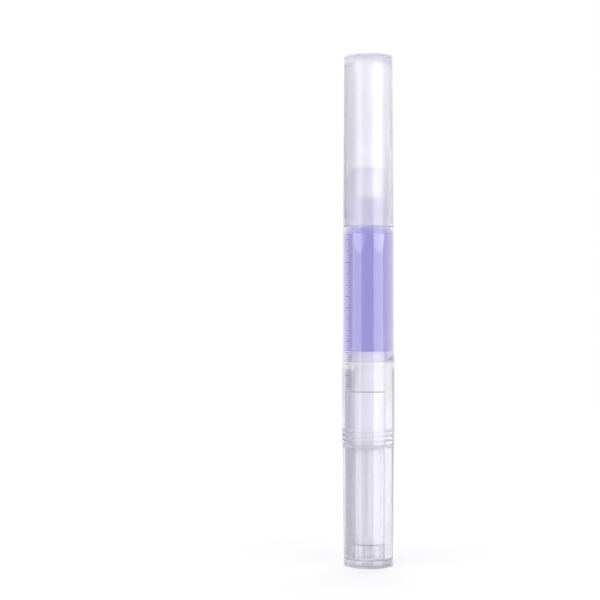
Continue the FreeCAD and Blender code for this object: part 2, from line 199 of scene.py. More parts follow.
# Marks on clear mouldings: flow lines along the pen, faint haze and hairline handling scratches.
FLOW_STRETCH = (1, 1, 0.07)
FLOW_SCALE = 520
FLOW_DEPTH = 0.02
HAZE_SCALE = 240
HAZE_ROUGHNESS = 0.015
SCRATCH_TILT = (0.05, 0.04, 0)
SCRATCH_STRETCH = (1, 1, 0.03)
SCRATCH_SCALE = 330
SCRATCH_WIDTH = 0.012
NOISE_MIDDLE = 0.5
PLASTIC_IOR = 1.5
CLOUD_SCATTER = 0.5
CLOUD_REACH = 1.0
mould_marks, given, result = new_group(
    "mould_marks", {"Polish": 0.03, "Scratches": 0.1}, ("Roughness", "Height", "Haze")
)
place = add_node(mould_marks, "TexCoord").outputs["Object"]
along = add_node(mould_marks, "Mapping", {"Vector": place, "Scale": FLOW_STRETCH}).outputs[0]
askew = add_node(
    mould_marks, "Mapping", {"Vector": place, "Rotation": SCRATCH_TILT, "Scale": SCRATCH_STRETCH}
).outputs[0]
flow = noise(mould_marks, along, FLOW_SCALE, detail=2)
haze = noise(mould_marks, place, HAZE_SCALE, detail=4)
contour = noise(mould_marks, askew, SCRATCH_SCALE, detail=1)
off_line = maths(mould_marks, "ABSOLUTE", maths(mould_marks, "SUBTRACT", contour, NOISE_MIDDLE))
hairline = add_node(
    mould_marks, "MapRange", {"Value": off_line, "From Max": SCRATCH_WIDTH, "To Min": 1, "To Max": 0}
).outputs[0]
scratch = maths(mould_marks, "MULTIPLY", hairline, given.outputs["Scratches"])
hazy = maths(mould_marks, "MULTIPLY", haze, HAZE_ROUGHNESS)
polish = maths(mould_marks, "ADD", given.outputs["Polish"], hazy)
mould_marks.links.new(maths(mould_marks, "ADD", polish, scratch), result.inputs["Roughness"])
mould_marks.links.new(maths(mould_marks, "SUBTRACT", flow, scratch), result.inputs["Height"])
mould_marks.links.new(haze, result.inputs["Haze"])


def clear_plastic(name, clear, tint, cloud, absorbed, density, polish, scratches, wave, ior=PLASTIC_IOR):
    """Clear or frosted plastic that lamps shine through: tinted by its depth, cloudier in places."""
    finish = bpy.data.materials.new(name)
    finish.use_nodes = True
    tree = finish.node_tree
    gloss = tree.nodes["Principled BSDF"]
    output = tree.nodes["Material Output"]
    marks = add_node(tree, "Group", {"Polish": polish, "Scratches": scratches}, node_tree=mould_marks)
    bump = add_node(
        tree, "Bump", {"Height": marks.outputs["Height"], "Strength": wave, "Distance": FLOW_DEPTH * MM}
    )
    tree.links.new(mixed(tree, marks.outputs["Haze"], tint, cloud), gloss.inputs["Base Color"])
    tree.links.new(marks.outputs["Roughness"], gloss.inputs["Roughness"])
    tree.links.new(bump.outputs[0], gloss.inputs["Normal"])
    gloss.inputs["IOR"].default_value = ior
    gloss.inputs["Transmission Weight"].default_value = clear
    gloss.inputs["Subsurface Weight"].default_value = CLOUD_SCATTER
    gloss.inputs["Subsurface Radius"].default_value = (1, 1, 1)
    gloss.inputs["Subsurface Scale"].default_value = CLOUD_REACH * MM
    lamp_way = add_node(tree, "BsdfTransparent", {"Color": tint})
    shadow = add_node(tree, "LightPath").outputs["Is Shadow Ray"]
    skin = add_node(tree, "MixShader", {0: shadow, 1: gloss.outputs[0], 2: lamp_way.outputs[0]})
    tree.links.new(skin.outputs[0], output.inputs["Surface"])
    if density:
        depth = add_node(tree, "VolumeAbsorption", {"Color": absorbed, "Density": density})
        tree.links.new(depth.outputs[0], output.inputs["Volume"])
    return finish


def matted(finish, low, high, matt):
    """Adds to the roughness of a clear plastic between two heights in millimetres."""
    tree = finish.node_tree
    skin = tree.nodes["Principled BSDF"]
    place = add_node(tree, "TexCoord").outputs["Object"]
    height = add_node(tree, "SeparateXYZ", {0: place}).outputs["Z"]
    above = maths(tree, "GREATER_THAN", height, low * MM)
    within = maths(tree, "MULTIPLY", above, maths(tree, "LESS_THAN", height, high * MM))
    polish = skin.inputs["Roughness"].links[0].from_socket
    rough = maths(tree, "ADD", polish, maths(tree, "MULTIPLY", within, matt))
    tree.links.new(rough, skin.inputs["Roughness"])


foot, spigot_top, foot_radius = reach("end_plug")
flange_top, knob_mouth, mouth_radius = reach("knob_shell")
DISH_DEPTH = 0.35
DISH_RIM = 2.14
FOOT_ROUND = 0.5
FOOT_MATT = 0.5
CRUSH_RIBS = 20
CRUSH_RIB = 0.22
CRUSH_RIB_SEGMENTS = 12
KNOB_BORE = 4.2
SPIGOT_GAP = 0.25
SPIGOT = KNOB_BORE - SPIGOT_GAP
RIB_CENTRE = KNOB_BORE - SNUG_GAP - CRUSH_RIB


def ribbed_spigot(angle):
    """Radius of the plug's stem, out to the round back of a crush rib."""
    pitch = 2 * math.pi / CRUSH_RIBS
    aside = RIB_CENTRE * math.sin((angle + pitch / 2) % pitch - pitch / 2)
    rib = RIB_CENTRE + math.sqrt(max(0, CRUSH_RIB ** 2 - aside ** 2))
    return max(SPIGOT, rib) if abs(aside) < CRUSH_RIB else SPIGOT


end_plug = turned("end_plug_clear", [
    (0, foot + DISH_DEPTH),
    (foot_radius - DISH_RIM, foot + DISH_DEPTH, SOFT_ROUND),
    (foot_radius - DISH_RIM + DISH_DEPTH, foot, EDGE_ROUND),
    (foot_radius, foot, FOOT_ROUND),
    (foot_radius, flange_top - SNUG_GAP, FINE_ROUND),
    (ribbed_spigot, flange_top - SNUG_GAP),
    (ribbed_spigot, spigot_top),
    (0, spigot_top),
], segments=CRUSH_RIBS * CRUSH_RIB_SEGMENTS)
clear_plug = clear_plastic(
    "clear_plug", clear=0.98, tint=(0.96, 0.96, 0.98, 1), cloud=(0.9, 0.9, 0.94, 1),
    absorbed=(0.4, 0.4, 0.48, 1), density=15, polish=0.05, scratches=0.1, wave=0.15,
)
matted(clear_plug, foot - FOOT_ROUND, foot + FOOT_ROUND, FOOT_MATT)
end_plug.data.materials.append(clear_plug)
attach(end_plug, "knob")
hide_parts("end_plug")

# Knob: a thick clear polystyrene tube with a slight draft, which the fingers turn.
# It is injection moulded and polished, and takes the sleeve and the end plug as press fits.
knob = turned("knob_clear", [
    (KNOB_BORE, flange_top, EDGE_ROUND),
    (foot_radius, flange_top, FINE_ROUND),
    (mouth_radius, knob_mouth, FINE_ROUND),
    (KNOB_BORE, knob_mouth, EDGE_ROUND),
])
knob.data.materials.append(clear_plastic(
    "clear_knob", clear=0.97, tint=(0.97, 0.965, 0.99, 1), cloud=(0.94, 0.935, 0.97, 1),
    absorbed=(0.45, 0.44, 0.52, 1), density=40, polish=0.03, scratches=0.06, wave=0.06,
))
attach(knob, "knob")
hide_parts("knob_shell")

# Drive sleeve: milky natural polypropylene, pressed into the knob by eight long ribs.
# Its flange closes the seam, and its neck runs in the nut and turns the screw by a flat-sided hole.
sleeve_foot, neck_top_of_sleeve, flange_radius = reach("drive_sleeve")
SLEEVE = 3.8
SLEEVE_BORE = 2.6
SLEEVE_RIBS = 8
SLEEVE_RIB_SEGMENTS = 24
RIB_WIDTH = 0.9
RIB_REACH = KNOB_BORE - SNUG_GAP
RIB_LEAD = 2.0
FLANGE = 0.35
CEILING_DROP = 0.8
DRIVE_NECK = 2.7
SNAP_DROP = 0.7
SNAP_PROUD = 0.22
SNAP_CREST_HALF = 0.1
SNAP_FOOT_HALF = 0.25
SCREW_WAY = 1.95
DRIVE_HOLE = 3.4
DRIVE_HOLE_RADIUS = 1.81
DRIVE_HOLE_FLAT = 1.36
LEAST_SINE = 0.01


def ribbed_sleeve(angle):
    """Radius of the sleeve, or of one of its ribs."""
    pitch = 2 * math.pi / SLEEVE_RIBS
    aside = abs((angle + pitch / 2) % pitch - pitch / 2) * RIB_REACH
    return RIB_REACH if aside < RIB_WIDTH / 2 else SLEEVE


def flat_sided(radius, flat, angle):
    """Radius at an angle about the axis, cut by two flats."""
    return min(radius, flat / max(abs(math.sin(angle)), LEAST_SINE))


def drive_hole(angle):
    """Radius of the flat-sided hole that turns the screw."""
    return flat_sided(DRIVE_HOLE_RADIUS, DRIVE_HOLE_FLAT, angle)


# Natural polypropylene and its kin: cloudy depth, a satin skin and a fine grain from the mould.
CLOUD_STRETCH = (1, 1, 0.3)
CLOUD_SCALE = 330
CLOUD_ROUGHNESS = 0.15
GRAIN_STRENGTH = 0.2
MILKY_REACH = 1.2
milky_cloud, given, result = new_group(
    "milky_cloud", {"Satin": 0.35, "Grain": 900.0}, ("Cloud", "Roughness", "Height")
)
place = add_node(milky_cloud, "TexCoord").outputs["Object"]
drawn = add_node(milky_cloud, "Mapping", {"Vector": place, "Scale": CLOUD_STRETCH}).outputs[0]
cloud = noise(milky_cloud, drawn, CLOUD_SCALE, detail=3)
grain = noise(milky_cloud, place, given.outputs["Grain"], detail=3)
cloudy = maths(milky_cloud, "MULTIPLY", cloud, CLOUD_ROUGHNESS)
satin = maths(milky_cloud, "ADD", given.outputs["Satin"], cloudy)
milky_cloud.links.new(cloud, result.inputs["Cloud"])
milky_cloud.links.new(satin, result.inputs["Roughness"])
milky_cloud.links.new(grain, result.inputs["Height"])


def milky_plastic(name, pale, deep, satin, grain, scatter, bump_depth, lamp_share=0.0):
    """Translucent plastic: light scatters in it, some passes it, and clouds deepen its colour."""
    finish = bpy.data.materials.new(name)
    finish.use_nodes = True
    tree = finish.node_tree
    skin = tree.nodes["Principled BSDF"]
    clouds = add_node(tree, "Group", {"Satin": satin, "Grain": grain}, node_tree=milky_cloud)
    bump = add_node(tree, "Bump", {
        "Height": clouds.outputs["Height"], "Strength": GRAIN_STRENGTH, "Distance": bump_depth * MM,
    })
    tree.links.new(mixed(tree, clouds.outputs["Cloud"], pale, deep), skin.inputs["Base Color"])
    tree.links.new(clouds.outputs["Roughness"], skin.inputs["Roughness"])
    tree.links.new(bump.outputs[0], skin.inputs["Normal"])
    skin.inputs["Subsurface Weight"].default_value = scatter
    skin.inputs["Subsurface Radius"].default_value = (1, 1, 1)
    skin.inputs["Subsurface Scale"].default_value = MILKY_REACH * MM
    if lamp_share:
        shadow = add_node(tree, "LightPath").outputs["Is Shadow Ray"]
        passed = maths(tree, "MULTIPLY", shadow, lamp_share)
        lamp_way = add_node(tree, "BsdfTransparent")
        body = add_node(tree, "MixShader", {0: passed, 1: skin.outputs[0], 2: lamp_way.outputs[0]})
        tree.links.new(body.outputs[0], tree.nodes["Material Output"].inputs["Surface"])
    return finish


hole_foot = neck_top_of_sleeve - DRIVE_HOLE
neck_snap = neck_top_of_sleeve - SNAP_DROP
drive_sleeve = turned("drive_sleeve_milky", [
    (SLEEVE_BORE, sleeve_foot, EDGE_ROUND),
    (SLEEVE, sleeve_foot, SOFT_ROUND),
    (SLEEVE, sleeve_foot + RIB_LEAD),
    (ribbed_sleeve, sleeve_foot + RIB_LEAD),
    (ribbed_sleeve, knob_mouth),
    (flange_radius, knob_mouth, HAIR_ROUND),
    (flange_radius, knob_mouth + FLANGE, HAIR_ROUND),
    (DRIVE_NECK, knob_mouth + FLANGE),
    (DRIVE_NECK, neck_snap - SNAP_FOOT_HALF),
    (DRIVE_NECK + SNAP_PROUD, neck_snap - SNAP_CREST_HALF),
    (DRIVE_NECK + SNAP_PROUD, neck_snap + SNAP_CREST_HALF),
    (DRIVE_NECK, neck_snap + SNAP_FOOT_HALF),
    (DRIVE_NECK, neck_top_of_sleeve, EDGE_ROUND),
    (drive_hole, neck_top_of_sleeve),
    (drive_hole, hole_foot),
    (SCREW_WAY, hole_foot),
    (SCREW_WAY, knob_mouth - CEILING_DROP),
    (SLEEVE_BORE, knob_mouth - CEILING_DROP),
], segments=SLEEVE_RIBS * SLEEVE_RIB_SEGMENTS)
milky_polypropylene = milky_plastic(
    "milky_polypropylene", pale=(0.93, 0.925, 0.95, 1), deep=(0.86, 0.85, 0.9, 1),
    satin=0.3, grain=1500.0, scatter=0.6, bump_depth=0.02, lamp_share=0.4,
)
drive_sleeve.data.materials.append(milky_polypropylene)
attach(drive_sleeve, "knob")
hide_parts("drive_sleeve")

# Click ring: a small white acetal ring, keyed to the sleeve's neck inside the nut.
# Its three spring pawls click over the nut's teeth; its own solid shows, in a satin acetal.
white_acetal = milky_plastic(
    "white_acetal", pale=(0.93, 0.93, 0.93, 1), deep=(0.87, 0.87, 0.88, 1),
    satin=0.25, grain=2200.0, scatter=0.15, bump_depth=0.01,
)
click_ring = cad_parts["click_ring"]
click_ring.data.materials.clear()
click_ring.data.materials.append(white_acetal)

# Drive nut: milky polypropylene, snapped into the barrel's rear by three rings that show through it.
# Sawtooth ratchet teeth line its pocket, above which it holds the sleeve's neck and the screw.
nut_foot, nut_top, nut_reach = reach("drive_nut")
NUT_RING_PROUD = 0.15
NUT_RINGS = 3
NUT_RING_RISE = 1.2
NUT_RING_PITCH = 1.1
NUT_RING_WIDTH = 0.6
NUT = nut_reach - NUT_RING_PROUD
TEETH = 12
TOOTH_SEGMENTS = 12
STEP_NUDGE = 1e-6
TOOTH_ROOT = 3.8
TOOTH_TIP = 3.45
TOOTH_POCKET = 2.8
BEARING = 2.8
SNAP_GROOVE = 3.02
SNAP_GROOVE_HALF = 0.35
NECK_ROOM = 0.1
NUT_HOLE = 1.81


def sawtooth(angle):
    """Radius of the ratchet teeth; the nudge keeps rounding from putting a step one point late."""
    share = (angle * TEETH / (2 * math.pi) + STEP_NUDGE) % 1
    return TOOTH_ROOT + (TOOTH_TIP - TOOTH_ROOT) * share


def nut_rings(gap):
    """Corners of the nut's rings, or of their grooves in the barrel, from the lowest up."""
    corners = []
    crest = NUT + NUT_RING_PROUD + gap
    for number in range(NUT_RINGS):
        height = nut_foot + NUT_RING_RISE + number * NUT_RING_PITCH
        half = NUT_RING_WIDTH / 2 + gap
        corners.append((NUT + gap, height - half, EDGE_ROUND))
        corners.append((crest, height, CREST_ROUND))
        corners.append((NUT + gap, height + half, EDGE_ROUND))
    return corners


drive_nut = turned("drive_nut_milky", [
    (sawtooth, nut_foot),
    (NUT, nut_foot, EDGE_ROUND),
    *nut_rings(0),
    (NUT, nut_top, BROAD_ROUND),
    (NUT_HOLE, nut_top, EDGE_ROUND),
    (NUT_HOLE, neck_top_of_sleeve + NECK_ROOM),
    (BEARING, neck_top_of_sleeve + NECK_ROOM),
    (BEARING, neck_snap + SNAP_GROOVE_HALF),
    (SNAP_GROOVE, neck_snap + SNAP_GROOVE_HALF),
    (SNAP_GROOVE, neck_snap - SNAP_GROOVE_HALF),
    (BEARING, neck_snap - SNAP_GROOVE_HALF),
    (BEARING, nut_foot + TOOTH_POCKET),
    (sawtooth, nut_foot + TOOTH_POCKET),
], segments=TEETH * TOOTH_SEGMENTS)
drive_nut.data.materials.append(milky_polypropylene)
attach(drive_nut, "barrel")
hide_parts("drive_nut")

# Lead screw: a white acetal bar with a right-hand thread of 2 mm lead between two flats.
# Its snap head is clipped into the piston, and the sleeve's flat-sided hole turns it.
screw_tail, screw_head_top, screw_head = reach("lead_screw")
SCREW = 1.75
SCREW_ROOT = 1.45
SCREW_FLAT = 1.3
SCREW_LEAD = 2.0
THREAD_CREST_HALF = 0.1
THREAD_ROOT_HALF = 0.3
SCREW_NECK = 1.4
HEAD = 1.2
NECK_RUN = 1.2
THREAD_STEP = 0.125


def threaded(height):
    """Rule for the screw's radius about the axis at a height: a trapezoid thread cut by the flats."""
    def radius(angle):
        phase = (height / SCREW_LEAD - angle / (2 * math.pi)) % 1
        flank = (THREAD_ROOT_HALF - abs(phase - 0.5)) / (THREAD_ROOT_HALF - THREAD_CREST_HALF)
        rise = (SCREW - SCREW_ROOT) * min(1, max(0, flank))
        return flat_sided(SCREW_ROOT + rise, SCREW_FLAT, angle)
    return radius


head_foot = screw_head_top - HEAD
shaft_top = head_foot - NECK_RUN
shaft = shaft_top - screw_tail
thread_steps = int(shaft / THREAD_STEP)
thread_heights = [screw_tail + shaft * step / thread_steps for step in range(thread_steps + 1)]
lead_screw = turned("lead_screw_threaded", [
    (0, screw_tail),
    *((threaded(height), height) for height in thread_heights),
    (SCREW_NECK, shaft_top),
    (SCREW_NECK, head_foot),
    (screw_head, head_foot, EDGE_ROUND),
    (SCREW_NECK, screw_head_top, LIP_ROUND),
    (0, screw_head_top),
], segments=SMALL_TURN_SEGMENTS)
lead_screw.data.materials.append(white_acetal)
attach(lead_screw, "screw")
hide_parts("lead_screw")

# Piston: a soft milky polyethylene moulding with a sealing lip at each end and a blunt nose.
# The screw's head turns in its socket, and it slides along the barrel's bore without turning.
piston_rear, nose_tip, piston_lip = reach("piston")
NOSE = 2.6
LIP_LAND = 0.5
LIP_FLARE = 1.4
WAIST = 3.5
FACE_ROUND = 0.12
NOSE_ROOT = 3.3
NOSE_DRAFT = 0.5
NOSE_TIP = NOSE_ROOT - NOSE_DRAFT
SKIRT_BORE = 2.6
SKIRT_DEPTH = 2.3
PISTON_WEB = 1.0
SNAP_HOLE = 1.5
HEAD_SOCKET = 2.3
HEAD_ROOM = 1.4
piston_face = nose_tip - NOSE
web_foot = piston_rear + SKIRT_DEPTH
web_top = web_foot + PISTON_WEB
piston = turned("piston_soft", [
    (SKIRT_BORE, piston_rear, SOFT_ROUND),
    (piston_lip, piston_rear, CREST_ROUND),
    (piston_lip, piston_rear + LIP_LAND, LIP_ROUND),
    (WAIST, piston_rear + LIP_LAND + LIP_FLARE, WIDE_ROUND),
    (WAIST, piston_face - LIP_LAND - LIP_FLARE, WIDE_ROUND),
    (piston_lip, piston_face - LIP_LAND, LIP_ROUND),
    (piston_lip, piston_face, FACE_ROUND),
    (NOSE_ROOT, piston_face, LIP_ROUND),
    (NOSE_TIP, nose_tip, WIDE_ROUND),
    (0, nose_tip),
    (0, web_top + HEAD_ROOM),
    (HEAD_SOCKET, web_top + HEAD_ROOM),
    (HEAD_SOCKET, web_top),
    (SNAP_HOLE, web_top),
    (SNAP_HOLE, web_foot, EDGE_ROUND),
    (SKIRT_BORE, web_foot),
])
piston.data.materials.append(milky_plastic(
    "soft_polyethylene", pale=(0.96, 0.945, 0.975, 1), deep=(0.91, 0.89, 0.935, 1),
    satin=0.4, grain=1200.0, scatter=0.7, bump_depth=0.03, lamp_share=0.5,
))
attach(piston, "piston")
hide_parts("piston")

# Barrel: a thick clear polystyrene moulding, the pen's body, with its neck inside the cap.
# Oil wets its bore, which then hardly shows, but for two films of air at the front under the shoulder.
barrel_rear, neck_rim, barrel_radius = reach("barrel")
bore_front, plug_end, _ = reach("oil_neck")
BORE = 4.2
NUT_GAP = 0.02
GROOVE_LEAST = 0.01
REAR_FACE = 0.1
TAPER_FOOT = 50.0
TAPER_TOP = 59.0
FRONT = 6.19
NECK = 4.9
NECK_BORE = 3.4
THROAT = 1.4
SHOULDER = 83.1
NECK_BEAD = 87.1
NECK_BEAD_PROUD = 0.18
NECK_BEAD_HALF = 0.6
NECK_BEAD_ROUND = 0.6
WET_IOR = 1.015
AIR_FILM_LENGTH = 4.6
AIR_FILM_ANGLE = math.radians(31)
AIR_FILM_SPREAD = math.radians(19)
FILM_STEP = 0.125


def touched(point):
    """Whether the nut's rings, or oil and not air, touch the barrel at a point inside it."""
    away = point.xy.length
    if point.z < nut_top:
        in_groove = NUT + NUT_GAP + GROOVE_LEAST < away < nut_reach + 2 * NUT_GAP
        return in_groove and point.z > barrel_rear + REAR_FACE
    if not piston_face < point.z < plug_end or away > BORE:
        return False
    across = (abs(math.atan2(point.x, -point.y)) - AIR_FILM_ANGLE) / AIR_FILM_SPREAD
    along = (bore_front - point.z) / AIR_FILM_LENGTH
    return point.z > bore_front or across ** 2 + along ** 2 > 1


film_rings = int(AIR_FILM_LENGTH / FILM_STEP) + 1
barrel = turned("barrel_clear", [
    (NUT + NUT_GAP, barrel_rear),
    (barrel_radius, barrel_rear, FINE_ROUND),
    (barrel_radius, TAPER_FOOT),
    (FRONT, TAPER_TOP),
    (FRONT, SHOULDER, FINE_ROUND),
    (NECK, SHOULDER, SOFT_ROUND),
    (NECK, NECK_BEAD - NECK_BEAD_HALF, WIDE_ROUND),
    (NECK + NECK_BEAD_PROUD, NECK_BEAD, NECK_BEAD_ROUND),
    (NECK, NECK_BEAD + NECK_BEAD_HALF, WIDE_ROUND),
    (NECK, neck_rim, LIP_ROUND),
    (NECK_BORE, neck_rim, EDGE_ROUND),
    (NECK_BORE, plug_end),
    (NECK_BORE, bore_front + THROAT, WIDE_ROUND),
    (BORE, bore_front),
    *((BORE, bore_front - FILM_STEP * ring) for ring in range(1, film_rings + 1)),
    (BORE, piston_face),
    (BORE, nut_top),
    (NUT + NUT_GAP, nut_top),
    *reversed(nut_rings(NUT_GAP)),
], segments=2 * TURN_SEGMENTS)
barrel.data.materials.append(clear_plastic(
    "clear_barrel", clear=0.985, tint=(0.97, 0.965, 0.99, 1), cloud=(0.945, 0.94, 0.975, 1),
    absorbed=(0.5, 0.5, 0.65, 1), density=40, polish=0.03, scratches=0.06, wave=0.12,
))
barrel.data.materials.append(clear_plastic(
    "wet_bore", clear=1, tint=(1, 1, 1, 1), cloud=(0.98, 0.98, 0.99, 1),
    absorbed=(1, 1, 1, 1), density=0, polish=0.0, scratches=0.0, wave=0.05, ior=WET_IOR,
))
for face in barrel.data.polygons:
    face.material_index = int(touched(face.center / MM))
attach(barrel, "barrel")
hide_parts("barrel")

# Oil: clear lavender oil that fills the bore ahead of the piston, the throat and the neck.
# The ring of oil round the piston's nose goes with the piston, and the column ahead of it shortens.
# A paler oil fills the ring and the neck, because the photograph shows it paler there.
OIL = BORE - SNUG_GAP
OIL_IN_NECK = NECK_BORE - SNUG_GAP
OIL_GAP = 0.01
FILM = 0.05
OIL_COLOUR = (0.51, 0.43, 0.89, 1)
OIL_IOR = 1.002
SWIRL_SCALE = 180
SWIRL_TINT = (0.97, 0.965, 0.99, 1)


def coloured_oil(name, density):
    """Clear coloured oil against wet walls: it bends no light there, and its depth gives the colour."""
    finish = bpy.data.materials.new(name)
    finish.use_nodes = True
    tree = finish.node_tree
    gloss = tree.nodes["Principled BSDF"]
    output = tree.nodes["Material Output"]
    place = add_node(tree, "TexCoord").outputs["Object"]
    swirl = noise(tree, place, SWIRL_SCALE, detail=2)
    tree.links.new(mixed(tree, swirl, (1, 1, 1, 1), SWIRL_TINT), gloss.inputs["Base Color"])
    gloss.inputs["Roughness"].default_value = 0
    gloss.inputs["IOR"].default_value = OIL_IOR
    gloss.inputs["Transmission Weight"].default_value = 1
    lamp_way = add_node(tree, "BsdfTransparent")
    shadow = add_node(tree, "LightPath").outputs["Is Shadow Ray"]
    skin = add_node(tree, "MixShader", {0: shadow, 1: gloss.outputs[0], 2: lamp_way.outputs[0]})
    depth = add_node(tree, "VolumeAbsorption", {"Color": OIL_COLOUR, "Density": density})
    tree.links.new(skin.outputs[0], output.inputs["Surface"])
    tree.links.new(depth.outputs[0], output.inputs["Volume"])
    return finish


lavender_oil = coloured_oil("lavender_oil", density=200)
thin_oil = coloured_oil("thin_oil", density=80)
ring_top = nose_tip + FILM
oil_ring = turned("oil_ring_lavender", [
    (NOSE_ROOT + FILM, piston_face + FILM),
    (OIL, piston_face + FILM),
    (OIL, ring_top),
    (NOSE_TIP + FILM, ring_top),
])
column_foot = ring_top + OIL_GAP
oil_column = turned("oil_column_lavender", [
    (0, column_foot),
    (OIL, column_foot),
    (OIL, bore_front - OIL_GAP),
    (0, bore_front - OIL_GAP),
])
oil_throat = turned("oil_throat_lavender", [
    (0, bore_front),
    (OIL, bore_front),
    (OIL_IN_NECK, bore_front + THROAT - OIL_GAP),
    (0, bore_front + THROAT - OIL_GAP),
])
oil_neck = turned("oil_neck_lavender", [
    (0, bore_front + THROAT),
    (OIL_IN_NECK, bore_front + THROAT),
    (OIL_IN_NECK, plug_end - OIL_GAP),
    (0, plug_end - OIL_GAP),
])
for oil, body, node, colour in (
    (oil_ring, "piston", "oil_column", thin_oil),
    (oil_column, "barrel", "oil_column", lavender_oil),
    (oil_throat, "barrel", "oil_neck", lavender_oil),
    (oil_neck, "barrel", "oil_neck", thin_oil),
):
    oil.data.materials.append(colour)
    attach(oil, body)
    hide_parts(node)
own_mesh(oil_column)

# Nozzle: a translucent polypropylene brush holder, plugged into the neck by two sealing rings.
# Its collar stands on the neck's rim, and its cone narrows to the socket that grips the bristles.
nozzle_end, nozzle_tip, collar = reach("nozzle")
PLUG_CORE = 3.2
PLUG_RING = 3.38
PLUG_RINGS = 2
PLUG_RING_RISE = 1.0
PLUG_RING_PITCH = 3.0
PLUG_RING_HEIGHT = 0.9
COLLAR_HEIGHT = 1.2
CONE_ROOT = 3.6
CONE_TIP = 2.4
BRISTLE_SOCKET = 2.02
SOCKET_DEPTH = 5.0
TUBE_WAY = 0.92
collar_top = neck_rim + COLLAR_HEIGHT
socket_foot = nozzle_tip - SOCKET_DEPTH
plug_rings = []
for number in range(PLUG_RINGS):
    ring_foot = nozzle_end + PLUG_RING_RISE + number * PLUG_RING_PITCH
    plug_rings.append((PLUG_CORE, ring_foot))
    plug_rings.append((PLUG_RING, ring_foot, FINE_ROUND))
    plug_rings.append((PLUG_RING, ring_foot + PLUG_RING_HEIGHT, FINE_ROUND))
    plug_rings.append((PLUG_CORE, ring_foot + PLUG_RING_HEIGHT))
nozzle = turned("nozzle_translucent", [
    (TUBE_WAY, nozzle_end),
    (PLUG_CORE, nozzle_end, SOFT_ROUND),
    *plug_rings,
    (PLUG_CORE, neck_rim),
    (collar, neck_rim, EDGE_ROUND),
    (collar, collar_top, LIP_ROUND),
    (CONE_ROOT, collar_top, BROAD_ROUND),
    (CONE_TIP, nozzle_tip, SOFT_ROUND),
    (BRISTLE_SOCKET, nozzle_tip, EDGE_ROUND),
    (BRISTLE_SOCKET, socket_foot),
    (TUBE_WAY, socket_foot),
])
nozzle_polypropylene = milky_plastic(
    "nozzle_polypropylene", pale=(0.94, 0.935, 0.955, 1), deep=(0.88, 0.87, 0.91, 1),
    satin=0.28, grain=1600.0, scatter=0.8, bump_depth=0.02, lamp_share=0.4,
)
nozzle.data.materials.append(nozzle_polypropylene)
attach(nozzle, "barrel")
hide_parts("nozzle")

# Feed tube: a fine extruded polypropylene tube that carries oil through the nozzle into the bristles.
# Its ends are cut square, and their edges are slightly rounded.
tube_foot, tube_top, tube = reach("feed_tube")
TUBE_BORE = 0.55
feed_tube = turned("feed_tube_fine", [
    (TUBE_BORE, tube_foot, HAIR_ROUND),
    (tube, tube_foot, HAIR_ROUND),
    (tube, tube_top, FINE_ROUND),
    (TUBE_BORE, tube_top, HAIR_ROUND),
], segments=SMALL_TURN_SEGMENTS)
feed_tube.data.materials.append(nozzle_polypropylene)
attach(feed_tube, "barrel")
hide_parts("feed_tube")

# Bristles: a round tuft of fine white nylon hairs, glued into the nozzle round the feed tube.
# Its packed middle is one body; tapered hairs stand round that and end above it in a blunt dome.
bristle_root, bristle_tip, tuft = reach("brush_bristles")
HAIRS = 360
HAIR = 0.06
HAIR_SIDES = 5
HAIR_RINGS = 8
HAIR_SPREAD = 1.93
HAIR_SWAY = 0.06
HAIR_SWING = 2
HAIR_UNEVEN = 0.25
HAIR_TAPER = 0.7
TAPER_POWER = 4
HAIR_SEED = 427
DOME = 1.3
CORE = 1.78
CORE_DROP = 0.4
CORE_SEGMENTS = 64
TUBE_ROOM = 0.05
GOLDEN_TURN = math.pi * (3 - math.sqrt(5))


def lofted(form, rings):
    """Skin over a row of rings, with a flat face at each end."""
    for first, second in zip(rings, rings[1:]):
        for corner in range(len(first)):
            after = (corner + 1) % len(first)
            form.faces.new((first[corner], first[after], second[after], second[corner]))
    form.faces.new(rings[0])
    form.faces.new(rings[-1])


core_top = bristle_tip - CORE_DROP
nylon_bristle = milky_plastic(
    "nylon_bristle", pale=(0.97, 0.965, 0.96, 1), deep=(0.93, 0.92, 0.915, 1),
    satin=0.3, grain=3000.0, scatter=0.3, bump_depth=0.01, lamp_share=0.75,
)
tuft_core = turned("bristle_core", [
    (tube + SNUG_GAP, bristle_root),
    (CORE, bristle_root),
    (CORE, core_top, DOME),
    (0, core_top),
    (0, tube_top + TUBE_ROOM),
    (tube + SNUG_GAP, tube_top + TUBE_ROOM),
], segments=CORE_SEGMENTS)
draw = random.Random(HAIR_SEED)
form = bmesh.new()
for number in range(HAIRS):
    from_axis = HAIR_SPREAD * math.sqrt((number + 0.5) / HAIRS)
    root = core_top - DOME if from_axis < CORE - HAIR else bristle_root
    rim_share = max(0, from_axis - tuft + DOME) / DOME
    domed = bristle_tip - DOME * (1 - math.sqrt(max(0, 1 - rim_share ** 2)))
    tip = domed - draw.uniform(0, HAIR_UNEVEN)
    lean = draw.uniform(0, 2 * math.pi)
    sway = draw.uniform(0, HAIR_SWAY)
    rings = []
    for ring in range(HAIR_RINGS):
        share = ring / (HAIR_RINGS - 1)
        height = root + (tip - root) * share
        free = max(0, (height - nozzle_tip) / (bristle_tip - nozzle_tip))
        bend = sway * free * math.sin(HAIR_SWING * free)
        middle_x = from_axis * math.cos(number * GOLDEN_TURN) + bend * math.cos(lean)
        middle_y = from_axis * math.sin(number * GOLDEN_TURN) + bend * math.sin(lean)
        thick = HAIR * (1 - HAIR_TAPER * share ** TAPER_POWER)
        rings.append([
            form.verts.new((
                (middle_x + thick * math.cos(2 * math.pi * side / HAIR_SIDES)) * MM,
                (middle_y + thick * math.sin(2 * math.pi * side / HAIR_SIDES)) * MM,
                height * MM,
            ))
            for side in range(HAIR_SIDES)
        ])
    lofted(form, rings)
bristles = finished("bristles_nylon", form)
